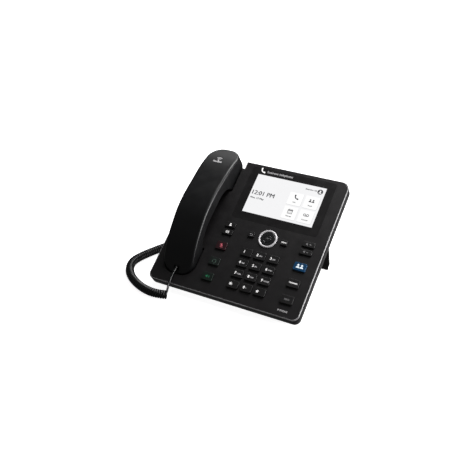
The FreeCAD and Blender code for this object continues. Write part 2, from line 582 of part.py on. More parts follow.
def foot_points():
    """A wedge from the underside down to the plane that the phone stands on."""
    slope, lift = math.tan(math.radians(size("tilt"))), size("front_z") / math.cos(math.radians(size("tilt")))
    down = {word: -(lift + slope * size(word)) for word in ("foot_front", "foot_back")}
    return [("foot_front", "-side_depth"), ("foot_front", f"{down['foot_front']}"),
            ("foot_back", f"{down['foot_back']}"), ("foot_back", "-side_depth")]


def make_navigation():
    ring = cut("ring_cut", disc("ring_disc", "ring_outer", "nav_u", "nav_v", "-ring_sink", "ring_sink + ring_rise"),
               disc("ring_bore", "ring_inner", "nav_u", "nav_v", "-ring_sink - 1", "ring_sink + ring_rise + 2"))
    keep("nav_trim_ring", soften("ring_soft", ring, "ring_round", level_at(size("ring_rise"))))
    pad = cut("pad_cut", disc("pad_disc", "pad_outer", "nav_u", "nav_v", "-pad_sink", "pad_sink + pad_rise"),
              disc("pad_bore", "pad_inner", "nav_u", "nav_v", "-pad_sink - 1", "pad_sink + pad_rise + 2"))
    keep("nav_pad", soften("pad_soft", pad, "key_edge", level_at(size("pad_rise"))))
    pivot = cut("pivot_cut", disc("pivot_disc", "pivot_outer", "nav_u", "nav_v", "-pivot_bottom",
                                  "pivot_bottom - pivot_top"),
                disc("pivot_bore", "pivot_inner", "nav_u", "nav_v", "-pivot_bottom - 1", "3"))
    keep("nav_pivot", pivot)
    button = disc("ok_disc", "ok_radius", "nav_u", "nav_v", "-key_root", "key_root + ok_rise")
    keep("ok_button", soften("ok_soft", button, "key_edge", level_at(size("ok_rise"))))


def make_hook():
    foot = "-belly_depth + wall + switch_height + switch_gap"
    column = middle_block("plunger_column", "hook_u", "hook_v", f"{foot}", "2 * hook_half",
                          "2 * hook_half", f"-recess_depth - ({foot})")
    flange = middle_block("plunger_flange", "hook_u", "hook_v", f"{foot}", "2 * hook_half + 3",
                          "2 * hook_half + 3", "1.2")
    keep("hook_plunger", join("plunger", column, flange))


# ---- the stand ----

def stand_place():
    """The hinge line, with the leg's length along -Z of its own frame, leaning back by leg_lean."""
    hinge = FACE.multVec(Vector(0, size("hinge_v"), -size("hinge_w")))
    return Placement(hinge, Rotation(Vector(1, 0, 0), size("leg_lean")))


def leg_length():
    return stand_place().Base.z / math.cos(math.radians(size("leg_lean")))


def make_stand():
    place = stand_place()
    reach = leg_length()
    lean = math.tan(math.radians(size("leg_lean")))
    barrel = lying(disc("leg_barrel", "barrel_radius", "-leg_half", "0", "0", "2 * leg_half"), "u")
    sheet_down = block("leg_sheet", "-leg_half", "-leg_thick / 2", f"pad_thick - {reach}", "2 * leg_half",
                       "leg_thick", f"{reach} - pad_thick")
    rounded = soften("leg_round", sheet_down, "corner_radius", lower_corner)
    window = soften("leg_window", block(
        "leg_window_box", "-leg_window_half", "-leg_thick", "-leg_window_bottom", "2 * leg_window_half",
        "2 * leg_thick", "leg_window_bottom - leg_window_top"), "leg_thick", along_y)
    bore = lying(disc("leg_bore", "pin_radius + pin_gap", "-leg_half - 1", "0", "0", "2 * leg_half + 2"), "u")
    keep("stand_leg", cut("leg", join("leg_blank", rounded, barrel), window, bore), place)
    feet = []
    for i in (-1, 1):
        low = [("-leg_thick / 2", f"pad_thick - {reach}"), ("leg_thick / 2", f"pad_thick - {reach}"),
               ("leg_thick / 2", f"-leg_thick * {lean} / 2 - {reach}"),
               ("-leg_thick / 2", f"leg_thick * {lean} / 2 - {reach}")]
        foot = side_profile(f"leg_foot_{i + 1}", low, "leg_foot_width / 2")
        foot.Placement = Placement(Vector(i * size("leg_foot_u"), 0, 0), Rotation())
        feet.append(foot)
    keep("stand_feet", group("leg_feet", *feet), place)


def along_y(edge):
    ends = edge.Vertexes
    return len(ends) == 2 and (ends[0].Point - ends[1].Point).cross(Vector(0, 1, 0)).Length < 1e-6


def lower_corner(edge):
    return along_y(edge) and edge.Vertexes[0].Z < -size("leg_window_bottom")


# ---- rounded outlines and routes ----

def rounded_path(points, radii=None):
    """Straight runs joined by tangent arcs, as a wire, with the least radius.

    Each arc has its radius from radii, or without them the largest that its two runs allow.
    """
    points = [Vector(*p) for p in points]
    edges, at, least = [], points[0], math.inf
    for i, (before, corner, after) in enumerate(zip(points, points[1:], points[2:])):
        back, ahead = before - corner, after - corner
        spread = math.tan((math.pi - back.getAngle(ahead)) / 2)
        trim = radii[i] * spread if radii else ROUTE_FILL * min(back.Length, ahead.Length)
        radius = trim / spread
        least = min(least, radius)
        back.normalize()
        ahead.normalize()
        start, end = corner + back * trim, corner + ahead * trim
        middle = corner + (back + ahead).normalize() * (math.hypot(radius, trim) - radius)
        edges += [Part.makeLine(at, start), Part.Arc(start, middle, end).toShape()]
        at = end
    edges.append(Part.makeLine(at, points[-1]))
    return Part.Wire(edges), least


# ---- the handset ----

def outline(inset):
    """The handset's side outline as a face in the plane u = 0, drawn in by inset."""
    under, _ = rounded_path([(0, v, w) for v, w in UNDERSIDE])
    top, _ = rounded_path([(0, v, w) for v, w in TOPSIDE])
    ends = [Part.makeLine(Vector(0, *UNDERSIDE[-1]), Vector(0, *TOPSIDE[0])),
            Part.makeLine(Vector(0, *TOPSIDE[-1]), Vector(0, *UNDERSIDE[0]))]
    face = Part.Face(Part.Wire(under.Edges + [ends[0]] + top.Edges + [ends[1]]))
    return face.makeOffset2D(-inset) if inset else face


def footprint(inset):
    """The handset's plan, drawn in by inset: straight sides that flare a little to a rounded ear end."""
    half, wide, front = size("grip_half") - inset, size("ear_end_half") - inset, size("grip_front") + inset
    right = [(half, front, size("grip_corner") - inset), (half, size("flare_from"), size("flare_round")),
             (wide, size("flare_to"), size("flare_round")),
             (wide, size("grip_back") - inset, size("ear_end_corner") - inset)]
    corners = right + [(-u, v, radius) for u, v, radius in reversed(right)]
    points = [(0, front)] + [corner[:2] for corner in corners] + [(0, front)]
    path, _ = rounded_path([(u, v, 0) for u, v in points], [radius for _, _, radius in corners])
    return Part.Face(path)


def grip(inset, shoulder, edge_round):
    """The handset's outer shape drawn in by inset, with its upper and lower edges rounded."""
    side = outline(inset).extrude(Vector(2 * size("ear_end_half"), 0, 0))
    side.translate(Vector(-size("ear_end_half"), 0, 0))
    tall = footprint(inset).extrude(Vector(0, 0, 80))
    tall.translate(Vector(0, 0, -30))
    solid = side.common(tall).Solids[0]
    solid = solid.makeFillet(shoulder, rim_edges(solid)[0])
    solid = solid.makeFillet(edge_round, rim_edges(solid)[1])
    solid.translate(Vector(size("cradle_u"), 0, 0))
    return solid


def rim_edges(solid):
    """The edges where the handset's upright walls meet its top and its underside."""
    upper, lower, below = [], [], below_parting()
    for edge in solid.Edges:
        middle = edge.valueAt((edge.FirstParameter + edge.LastParameter) / 2)
        walls = [f for f in solid.ancestorsOfType(edge, Part.Face) if upright_at(f, middle)]
        if len(walls) == 1:
            (lower if below.isInside(middle, 1e-6, True) else upper).append(edge)
    return upper, lower


def upright_at(face, point):
    u, v = face.Surface.parameter(point)
    return abs(face.normalAt(u, v).z) < 1e-3


def below_parting():
    """Everything below the line on which the two shells part."""
    line, _ = rounded_path([(-200, v, w) for v, w in PARTING])
    first, last = Vector(-200, *PARTING[0]), Vector(-200, *PARTING[-1])
    low_first, low_last = Vector(-200, first.y, -60), Vector(-200, last.y, -60)
    sides = [Part.makeLine(last, low_last), Part.makeLine(low_last, low_first), Part.makeLine(low_first, first)]
    return Part.Face(Part.Wire(line.Edges + sides)).extrude(Vector(300, 0, 0))


def handset_part(label, shape):
    made = doc.addObject("Part::Feature", label)
    made.Shape = shape
    keep(label, made)


def slab(du, dv, dw, v, w):
    """A box centred on the handset in u, running up from v and standing on w."""
    return Part.makeBox(du, dv, dw, Vector(size("cradle_u") - du / 2, v, w))


def drill(radius, across, along, height):
    """A hole through the handset's underside, at a place measured from its middle line."""
    return Part.makeCylinder(radius, height, Vector(size("cradle_u") + across, along, -size("cup_depth") - 1))


def make_handset():
    wall, width, height = size("grip_wall"), size("plug_width"), size("plug_height")
    shell = grip(0, size("shoulder"), size("cup_edge")).cut(
        grip(wall, size("shoulder") - 1, 0.3))
    gap = size("slot_gap")
    doorway = slab(width + 2 * gap, DOORWAY_LENGTH, height + 2 * gap, size("doorway_front"),
                   size("jack_w") - height / 2 - gap)
    holes = [drill(size("ear_hole"), 0, size("ear_v"), wall + 2)]
    for ring in EAR_HOLE_RINGS:
        for i in range(EAR_HOLES):
            angle = 2 * math.pi * i / EAR_HOLES
            holes.append(drill(size("ear_hole"), ring * math.cos(angle), size("ear_v") + ring * math.sin(angle),
                               wall + 2))
    holes += [drill(size("mouth_hole"), 4 * i, size("mouth_v"), wall + 2) for i in (-1, 0, 1)]
    below = below_parting()
    handset_part("handset_inner_shell", shell.common(below).cut([doorway] + holes))
    handset_part("handset_back_shell", shell.cut([below, doorway]))
    floor = wall - size("cup_depth")
    centre = Vector(size("cradle_u"), size("ear_v"), floor + gap)
    handset_part("earpiece_receiver", Part.makeCylinder(size("receiver_radius"), 5, centre).fuse(
        Part.makeCylinder(size("receiver_back"), 8, centre)))
    capsule = Vector(size("cradle_u"), size("mouth_v") + size("capsule_shift"), floor + size("capsule_lift"))
    handset_part("handset_microphone", Part.makeCylinder(size("capsule_radius"), size("capsule_height"), capsule))
    handset_part("handset_weight", slab(*WEIGHT))
    back = size("jack_v") + size("jack_setback")
    play = size("plug_gap")
    body = slab(width + 3, size("jack_length"), height + 2.4, back, size("jack_w") - height / 2 - 1.2)
    slot = slab(width + play, 6, height + play, back - 1.5, size("jack_w") - (height + play) / 2)
    handset_part("handset_jack", body.cut(slot))


# ---- the cord ----

def tube(label, points, radius, trimmed_by=()):
    """A round tube along a route, checked against its section times its length."""
    path, least = rounded_path(points)
    start = Vector(*points[0])
    ring = Part.Wire(Part.makeCircle(radius, start, Vector(*points[1]) - start))
    shape = path.makePipeShell([ring], True, False)
    share = shape.Volume / (math.pi * radius ** 2 * path.Length)
    print(f"{label}: length {path.Length:.1f}, least radius {least:.1f}, volume share {share:.3f}")
    made = doc.addObject("Part::Feature", label)
    made.Shape = shape.cut(list(trimmed_by)) if trimmed_by else shape
    keep(label, made, Placement())
    return shape


def make_cord():
    coil = tube("cord_coil", COIL, size("coil_radius"))
    tube("cord_lead", LEAD, size("wire_radius"), trimmed_by=[coil])
    tube("cord_tail", TAIL, size("wire_radius"), trimmed_by=[coil])
    width, height, length = size("plug_width"), size("plug_height"), size("plug_length")
    start, end = (Vector(*place) for place in BOOT)
    boot = Part.makeCylinder(size("boot_radius"), (end - start).Length, start, end - start)
    boot = boot.common(slab(20, 20, 20, size("boot_end"), -5))
    plug = slab(width, length - 0.2, height, size("jack_v"), size("jack_w") - height / 2)
    handset_part("cord_plug_handset", plug.fuse(boot))
    plug = middle_block("base_plug", "cord_port_u", "cord_port_v", "-belly_depth - 2.5", "plug_width",
                        "plug_height", "plug_length")
    keep("cord_plug_base", plug)


def check_and_export():
    doc.recompute()
    for thing in doc.Objects:
        if "Invalid" in thing.State or "Error" in thing.State:
            raise SystemExit(f"{thing.Name} ({thing.Label}) failed: {thing.State}")
    for label, made in nodes.items():
        if made.Shape.isNull() or not made.Shape.isValid() or not made.Shape.Solids:
            raise SystemExit(f"{label} has no valid solid")
    os.makedirs("parts", exist_ok=True)
    for label, made in nodes.items():
        made.Shape.exportStep(os.path.join("parts", f"{label}.step"))
    whole = FreeCAD.BoundBox()
    for label, made in nodes.items():
        if not label.startswith("cord_"):
            whole.add(made.Shape.BoundBox)
    print(f"{len(nodes)} nodes, body box {whole}")


fill_sheet()
FACE = Placement(Vector(0, size("front_y"), size("front_z")), Rotation(Vector(1, 0, 0), size("tilt")))
for key_name, key_facts in key_places().items():
    make_key(key_name, *key_facts)
make_upper_housing()
make_lower_housing()
make_trim()
make_display()
make_inner_parts()
make_sockets()
make_fixings()
make_navigation()
make_hook()
make_stand()
make_handset()
make_cord()
check_and_export()
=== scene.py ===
import json
import math

import bmesh
import bpy
from mathutils import Matrix, Vector
from mathutils.bvhtree import BVHTree


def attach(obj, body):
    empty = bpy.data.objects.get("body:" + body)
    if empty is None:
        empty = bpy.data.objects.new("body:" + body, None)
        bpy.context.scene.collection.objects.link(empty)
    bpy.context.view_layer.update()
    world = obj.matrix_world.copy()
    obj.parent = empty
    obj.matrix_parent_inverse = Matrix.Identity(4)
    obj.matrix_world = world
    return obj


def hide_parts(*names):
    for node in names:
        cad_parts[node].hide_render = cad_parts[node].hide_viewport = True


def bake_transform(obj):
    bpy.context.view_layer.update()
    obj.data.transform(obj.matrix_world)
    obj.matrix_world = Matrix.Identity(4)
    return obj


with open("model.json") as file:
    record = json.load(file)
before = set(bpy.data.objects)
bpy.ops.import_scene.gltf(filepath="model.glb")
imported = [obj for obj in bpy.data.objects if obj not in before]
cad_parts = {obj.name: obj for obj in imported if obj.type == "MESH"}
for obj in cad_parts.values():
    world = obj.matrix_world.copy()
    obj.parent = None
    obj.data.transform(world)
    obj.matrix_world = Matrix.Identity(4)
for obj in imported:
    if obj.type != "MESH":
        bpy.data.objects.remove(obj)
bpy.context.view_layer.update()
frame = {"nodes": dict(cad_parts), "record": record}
nodes = frame["nodes"]

# Places on the face are in millimetres: u to the right of its middle, v up from its front edge, w out of it.
MM = 0.001
TILT = math.radians(34)
FRONT_EDGE = Vector((0, -0.0958, 0.014))
FACE = Matrix.Translation(FRONT_EDGE) @ Matrix.Rotation(TILT, 4, "X") @ Matrix.Scale(MM, 4)
FACE_BACK = FACE.inverted()
OUT = (FACE.to_3x3() @ Vector((0, 0, 1))).normalized()


def add(name, data):
    made = bpy.data.objects.new(name, data)
    bpy.context.scene.collection.objects.link(made)
    return made


def face_box(node):
    """The lowest and highest u, v and w of a CAD node."""
    places = [FACE_BACK @ vertex.co for vertex in nodes[node].data.vertices]
    return [Vector(map(pick, zip(*places))) for pick in (min, max)]


# ---- camera ----

CAMERA_LENS = 50.06
SENSOR_WIDTH = 36
CAMERA_PLACE = (0.36087, -0.73557, 0.54597)
# Degrees by which the camera looks down, and by which it turns from facing straight back.
CAMERA_DOWN = 30.663
CAMERA_ROUND = 27.385


def make_camera():
    data = bpy.data.cameras.new("camera")
    data.lens = CAMERA_LENS
    data.sensor_width = SENSOR_WIDTH
    camera = add("camera", data)
    camera.location = CAMERA_PLACE
    camera.rotation_euler = (math.radians(90 - CAMERA_DOWN), 0, math.radians(CAMERA_ROUND))
    bpy.context.scene.camera = camera


# ---- materials ----

NOISE_MIDDLE = (0.3, 0.7)  # the part of a noise texture's range that its values mostly lie in
DRIFT_SIZE = 0.03
SMEAR_SIZE = 0.012
GRAIN_SIZE = 0.0005
METAL_MARK_SIZE = 0.0008
EDGE_RADIUS = 0.0005
EDGE_TURN = (0.99, 0.85)  # the cosines between rounded and true normal where the painted edge highlight starts and is full


def node_tree(name):
    material = bpy.data.materials.new(name)
    material.use_nodes = True
    tree = material.node_tree
    return material, tree, tree.nodes["Principled BSDF"]


def wire(tree, kind, inputs=None, **settings):
    """A shader node with its settings and inputs; an input is a value or another node's socket."""
    made = tree.nodes.new(kind)
    for key, value in settings.items():
        setattr(made, key, value)
    for key, value in (inputs or {}).items():
        if isinstance(value, bpy.types.NodeSocket):
            tree.links.new(value, made.inputs[key])
        else:
            made.inputs[key].default_value = value
    return made


def shade(colour, amount):
    return (*[min(1, part * amount) for part in colour[:3]], 1)


def put(shader, values):
    """Constants on a shader's own inputs."""
    for key, value in values.items():
        shader.inputs[key].default_value = value


def noise(tree, size, detail):
    """Noise whose features are about size metres across."""
    place = wire(tree, "ShaderNodeTexCoord").outputs["Object"]
    made = wire(tree, "ShaderNodeTexNoise", {"Vector": place, "Scale": 1 / size, "Detail": detail})
    return made.outputs["Fac"]


def mapped(tree, value, source=NOISE_MIDDLE, target=(0.0, 1.0)):
    made = wire(tree, "ShaderNodeMapRange", {"Value": value, "From Min": source[0], "From Max": source[1],
                                             "To Min": target[0], "To Max": target[1]})
    return made.outputs["Result"]


def blended(tree, share, first, second):
    """One colour turning into another as share goes from 0 to 1."""
    made = wire(tree, "ShaderNodeMix", data_type="RGBA")
    # This node's sockets share their names between types, so the colour ones go by number.
    tree.links.new(share, made.inputs[0])
    for index, value in ((6, first), (7, second)):
        if isinstance(value, bpy.types.NodeSocket):
            tree.links.new(value, made.inputs[index])
        else:
            made.inputs[index].default_value = value
    return made.outputs[2]


def edge_highlight_share(tree):
    """Where the painted edge highlight goes: 0 on flat parts and up to 1 along edges, where the rounded
    normal leaves the true one.
    """
    eased = wire(tree, "ShaderNodeBevel", {"Radius": EDGE_RADIUS}, samples=4).outputs["Normal"]
    true = wire(tree, "ShaderNodeNewGeometry").outputs["True Normal"]
    facing = wire(tree, "ShaderNodeVectorMath", operation="DOT_PRODUCT")
    tree.links.new(eased, facing.inputs[0])
    tree.links.new(true, facing.inputs[1])
    return mapped(tree, facing.outputs["Value"], EDGE_TURN)


def bumped(tree, shader, height, strength, distance):
    lump = wire(tree, "ShaderNodeBump", {"Height": height, "Strength": strength, "Distance": distance})
    tree.links.new(lump.outputs["Normal"], shader.inputs["Normal"])


def plastic(name, colour, rough=0.45, bump=0.12, mottle=0.1, edge=1.5, coat=0.0, specular=0.5):
    """Moulded plastic: a fine spark-eroded grain, a slow drift of tone, and a painted highlight that
    lightens its edges.
    """
    material, tree, shader = node_tree(name)
    drift = mapped(tree, noise(tree, DRIFT_SIZE, 4))
    base = blended(tree, drift, shade(colour, 1 - mottle), shade(colour, 1 + mottle))
    # Painted highlight: the edges are lightened by the factor edge, standing in for light caught by rounded
    # edges.
    if edge:
        base = blended(tree, edge_highlight_share(tree), base, shade(colour, edge))
    tree.links.new(base, shader.inputs["Base Color"])
    smear = mapped(tree, noise(tree, SMEAR_SIZE, 2), target=(rough - 0.04, rough + 0.04))
    tree.links.new(smear, shader.inputs["Roughness"])
    bumped(tree, shader, noise(tree, GRAIN_SIZE, 2), bump, GRAIN_SIZE * 0.3)
    put(shader, {"Specular IOR Level": specular, "Coat Weight": coat, "Coat Roughness": 0.12})
    return material


def metal(name, colour, rough=0.3):
    """Metal with fine marks that vary its gloss and height."""
    material, tree, shader = node_tree(name)
    marks = noise(tree, METAL_MARK_SIZE, 5)
    tint = blended(tree, mapped(tree, marks), shade(colour, 0.92), shade(colour, 1.06))
    tree.links.new(tint, shader.inputs["Base Color"])
    tree.links.new(mapped(tree, marks, target=(rough - 0.06, rough + 0.08)), shader.inputs["Roughness"])
    bumped(tree, shader, marks, 0.15, 0.00005)
    put(shader, {"Metallic": 1})
    return material


def ink(name, colour, painted_glow=0.0):
    """Printed marking, a little uneven; its painted glow is painted light, an emission that makes the print
    brighter than the lamps make it.
    """
    material, tree, shader = node_tree(name)
    tint = blended(tree, mapped(tree, noise(tree, 0.0012, 3)), shade(colour, 0.9), shade(colour, 1.05))
    tree.links.new(tint, shader.inputs["Base Color"])
    put(shader, {"Roughness": 0.45})
    # Painted light: the print gives off its own colour as if lit.
    if painted_glow:
        tree.links.new(tint, shader.inputs["Emission Color"])
        put(shader, {"Emission Strength": painted_glow})
    return material


def lit(name, colour):
    """A part of the picture on the display: it gives off its colour and reflects very little."""
    material, tree, shader = node_tree(name)
    spread = mapped(tree, noise(tree, 0.0009, 2))
    tint = blended(tree, spread, shade(colour, 0.97), shade(colour, 1.01))
    glass = blended(tree, spread, (0.015, 0.015, 0.015, 1), (0.03, 0.03, 0.03, 1))
    tree.links.new(tint, shader.inputs["Emission Color"])
    tree.links.new(glass, shader.inputs["Base Color"])
    put(shader, {"Emission Strength": 1, "Roughness": 0.3})
    return material


def clear_plastic(name):
    """The slightly hazy clear plastic of a modular plug."""
    material, tree, shader = node_tree(name)
    haze = mapped(tree, noise(tree, 0.002, 3))
    tint = blended(tree, haze, (0.5, 0.53, 0.55, 1), (0.62, 0.65, 0.67, 1))
    tree.links.new(tint, shader.inputs["Base Color"])
    put(shader, {"Roughness": 0.12, "Transmission Weight": 0.5})
    return material


def make_materials():
    """The material of every slot in the record, by slot."""
    # Every plastic's edge factor, given or default, lightens its edges: a painted highlight.
    return {
        "face_plastic": plastic("face_plastic", (0.0058, 0.0046, 0.0054), rough=0.48),
        "base_plastic": plastic("base_plastic", (0.032, 0.0315, 0.032), rough=0.5),
        # The trim's grey is partly its own colour and partly a painted highlight: it is made light to show
        # the lit chamfer along the face's edge.
        "edge_trim": plastic("edge_trim", (0.3, 0.295, 0.3), rough=0.3, bump=0.04, edge=1.8),
        "lens_gloss": plastic("lens_gloss", (0.0085, 0.0076, 0.0082), rough=0.34, bump=0.02, mottle=0.05),
        "screen": lit("screen", (0.9, 0.9, 0.91)),
        "steel_plate": metal("steel_plate", (0.55, 0.55, 0.57)),
        "circuit_board": plastic("circuit_board", (0.02, 0.12, 0.05), rough=0.35),
        "key_rubber": plastic("key_rubber", (0.2, 0.2, 0.21), rough=0.7),
        "key_plastic": plastic("key_plastic", (0.0078, 0.0072, 0.0076), rough=0.42, edge=1.8),
        "mute_red": plastic("mute_red", (0.022, 0.0018, 0.005), rough=0.42, edge=1.5),
        "headset_green": plastic("headset_green", (0.005, 0.0095, 0.0078), rough=0.42, edge=1.6),
        "speaker_green": plastic("speaker_green", (0.0035, 0.0105, 0.0068), rough=0.42, edge=1.6),
        "meeting_blue": plastic("meeting_blue", (0.004, 0.058, 0.15), rough=0.35, edge=1.6),
        "ring_chrome": plastic("ring_chrome", (0.8, 0.78, 0.8), rough=0.25, bump=0.02, coat=0.6),
        "nav_gloss": plastic("nav_gloss", (0.014, 0.015, 0.016), rough=0.22, bump=0.02, coat=0.4),
        "inner_plastic": plastic("inner_plastic", (0.03, 0.03, 0.032), rough=0.5),
        "speaker_metal": metal("speaker_metal", (0.08, 0.08, 0.08), rough=0.5),
        "microphone_metal": metal("microphone_metal", (0.5, 0.5, 0.5), rough=0.35),
        "jack_metal": metal("jack_metal", (0.55, 0.55, 0.57), rough=0.3),
        "jack_plastic": plastic("jack_plastic", (0.02, 0.02, 0.021), rough=0.4),
        "screw_steel": metal("screw_steel", (0.4, 0.4, 0.42), rough=0.35),
        "foot_rubber": plastic("foot_rubber", (0.012, 0.012, 0.012), rough=0.8, bump=0.3, edge=1.2),
        "stand_plastic": plastic("stand_plastic", (0.013, 0.013, 0.013), rough=0.55),
        "handset_plastic": plastic("handset_plastic", (0.0032, 0.0032, 0.0038), rough=0.4, bump=0.06),
        "weight_steel": metal("weight_steel", (0.3, 0.3, 0.31), rough=0.45),
        "cord_jacket": plastic("cord_jacket", (0.0025, 0.0025, 0.003), rough=0.3, bump=0.05, edge=0,
                               specular=0.6),
        "plug_clear": clear_plastic("clear_plug"),
    }


def make_inks():
    """The markings' materials: printed legends first, then what the display shows."""
    return {
        # The glows of the printed legends are painted light.
        "white": ink("legend_white", (0.9, 0.89, 0.88), painted_glow=0.6),
        "silver": ink("legend_silver", (0.5, 0.49, 0.5), painted_glow=0.25),
        "grey": ink("legend_grey", (0.3, 0.295, 0.3), painted_glow=0.05),
        "bright": ink("legend_bright", (0.8, 0.9, 0.95), painted_glow=0.5),
        "red": ink("legend_red", (0.6, 0.13, 0.17), painted_glow=0.25),
        "green": ink("legend_green", (0.02, 0.2, 0.09), painted_glow=0.12),
        "green_grey": ink("legend_green_grey", (0.09, 0.15, 0.12)),
        "print": ink("print_white", (0.7, 0.69, 0.7)),
        "text": lit("screen_text", (0.03, 0.03, 0.035)),
        "tile": lit("screen_tile", (1.0, 1.0, 1.0)),
        "shade": lit("screen_shade", (0.62, 0.62, 0.63)),
    }


# ---- the cord ----

# The route's points, in metres, from the handset's plug to the plug in the desk unit.
LEAD = [(-0.0782, -0.08457, 0.02749), (-0.0782, -0.08859, 0.02477), (-0.078, -0.0948, 0.0206),
        (-0.0772, -0.1009, 0.0162), (-0.0766, -0.1068, 0.0126), (-0.0760, -0.1148, 0.0084)]
COIL = [(-0.0715, -0.1122, 0.0068), (-0.085, -0.117, 0.0068), (-0.104, -0.1168, 0.0068),
        (-0.129, -0.1078, 0.0068), (-0.152, -0.0913, 0.0068), (-0.1665, -0.0663, 0.0068),
        (-0.1615, -0.0418, 0.0068), (-0.1495, -0.0143, 0.0068), (-0.139, 0.0072, 0.0068),
        (-0.1325, 0.0302, 0.0068), (-0.126, 0.0502, 0.0068)]
TAIL = [(-0.126, 0.0502, 0.0068), (-0.121, 0.0632, 0.008), (-0.114, 0.0747, 0.016),
        (-0.1055, 0.0817, 0.030), (-0.0985, 0.0827, 0.048), (-0.0935, 0.0788, 0.065),
        (-0.092, 0.0716, 0.0804), (-0.092, 0.0638, 0.092)]
WIRE = 0.0031
HELIX_RADIUS = 0.0049
PITCH = 0.0034
TURN_POINTS = 14
FIRST_ANGLE = math.pi  # where on its circle the curl's first turn starts
TUBE_SIDES = 16
# The curl ends at its last place where the wire points up the face, to within this cosine.
TO_HANDSET = Vector((0, 0.82, 0.57))
TO_HANDSET_COSINE = 0.93
LEAD_BEND = 0.006  # how far the lead keeps the curl's direction


def spline_curve(name, points, bevel=0.0, resolution=6):
    """A smooth curve with the points as the control points of its one open NURBS spline."""
    data = bpy.data.curves.new(name, "CURVE")
    data.dimensions = "3D"
    data.resolution_u = resolution
    data.bevel_depth = bevel
    data.bevel_resolution = 4
    data.use_fill_caps = True
    spline = data.splines.new("NURBS")
    spline.points.add(len(points) - 1)
    for point, place in zip(spline.points, points):
        point.co = (*place, 1)
    spline.order_u = 3
    spline.use_endpoint_u = True
    return data


def followed(points):
    """The places along the smooth line that the points control."""
    data = spline_curve("route", points, resolution=12)
    carrier = bpy.data.objects.new("route", data)
    mesh = bpy.data.meshes.new_from_object(carrier)
    line = [vertex.co.copy() for vertex in mesh.vertices]
    bpy.data.meshes.remove(mesh)
    bpy.data.objects.remove(carrier)
    bpy.data.curves.remove(data)
    return line


def length_of(line):
    return sum((after - before).length for before, after in zip(line, line[1:]))


def stations(line, step):
    """Places step apart along a line, each with its direction and its distance from the start."""
    found, travelled, due = [], 0.0, 0.0
    for start, end in zip(line, line[1:]):
        run = end - start
        while due <= travelled + run.length:
            found.append((start + run * ((due - travelled) / run.length), run.normalized(), due))
            due += step
        travelled += run.length
    return found


def helix(line):
    """The curly cord's centreline round a line."""
    turns = []
    for centre, along, distance in stations(line, PITCH / TURN_POINTS):
        side = along.cross(Vector((0, 0, 1))).normalized()
        up = side.cross(along)
        angle = FIRST_ANGLE + 2 * math.pi * distance / PITCH
        turns.append(centre + (side * math.cos(angle) + up * math.sin(angle)) * HELIX_RADIUS)
    return turns


def tube(name, line, radius):
    """A closed mesh tube round a line."""
    made = bmesh.new()
    rings = []
    angles = [2 * math.pi * k / TUBE_SIDES for k in range(TUBE_SIDES)]
    side = (line[1] - line[0]).cross(Vector((1, 0, 0))).normalized()
    for i, centre in enumerate(line):
        along = (line[min(i + 1, len(line) - 1)] - line[max(i - 1, 0)]).normalized()
        side = (side - along * side.dot(along)).normalized()
        other = along.cross(side)
        rings.append([made.verts.new(centre + (side * math.cos(a) + other * math.sin(a)) * radius)
                      for a in angles])
    for first, second in zip(rings, rings[1:]):
        for k in range(TUBE_SIDES):
            after = (k + 1) % TUBE_SIDES
            made.faces.new((first[k], first[after], second[after], second[k])).smooth = True
    made.faces.new(list(reversed(rings[0])))
    made.faces.new(rings[-1])
    mesh = bpy.data.meshes.new(name)
    made.to_mesh(mesh)
    made.free()
    return add(name, mesh)


def make_cord(finishes):
    turns = helix(followed(list(reversed(COIL))))
    # The tail meets the first turn along that turn's own direction.
    joined = turns[0] - (turns[1] - turns[0]).normalized() * HELIX_RADIUS
    tail = list(reversed(TAIL))[:-1] + [joined]
    last = next(i for i in range(len(turns) - 1, 0, -1)
                if (turns[i] - turns[i - 1]).normalized().dot(TO_HANDSET) > TO_HANDSET_COSINE)
    turns = turns[:last + 1]
    start = turns[-1]
    heading = (turns[-1] - turns[-2]).normalized()
    curl = add("handset_cord", spline_curve("handset_cord", tail + turns, bevel=WIRE / 2, resolution=2))
    curl.data.materials.append(finishes["cord_jacket"])
    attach(curl, "desk_unit")
    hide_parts("cord_coil", "cord_tail")
    round(length_of(followed(tail + turns)), 3)
    lead_line = followed(LEAD[:-2] + [start + heading * LEAD_BEND, start])
    lead = tube("cord_lead_wire", lead_line, WIRE / 2)
    lead.data.materials.append(finishes["cord_jacket"])
    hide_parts("cord_lead")
    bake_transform(lead)


# ---- printed and lit markings, drawn in millimetres about their own middle ----

STEP = 12  # degrees between the points of a drawn arc


def arc_points(x, y, radius, start, end):
    count = max(2, math.ceil(abs(end - start) / STEP) + 1)
    angles = [math.radians(start + (end - start) * i / (count - 1)) for i in range(count)]
    return [(x + radius * math.cos(a), y + radius * math.sin(a)) for a in angles]


def dot(x, y, radius):
    return [arc_points(x, y, radius, 0, 360)[:-1]]


def arc(x, y, radius, width, start, end):
    """A stroke along an arc, in parts of at most half a turn."""
    parts = max(1, math.ceil(abs(end - start) / 180))
    marks = [start + (end - start) * i / parts for i in range(parts + 1)]
    return [arc_points(x, y, radius + width / 2, a, b) + arc_points(x, y, radius - width / 2, b, a)
            for a, b in zip(marks, marks[1:])]


def bar(x0, y0, x1, y1, width):
    """A straight stroke with round ends."""
    heading = math.degrees(math.atan2(y1 - y0, x1 - x0))
    return [arc_points(x1, y1, width / 2, heading - 90, heading + 90)
            + arc_points(x0, y0, width / 2, heading + 90, heading + 270)]


def rounded(x, y, width, height, radius):
    """A filled rectangle with round corners."""
    corners = [(1, 1, 0), (-1, 1, 90), (-1, -1, 180), (1, -1, 270)]
    return [[point for across, up, start in corners
             for point in arc_points(x + across * (width / 2 - radius), y + up * (height / 2 - radius),
                                     radius, start, start + 90)]]


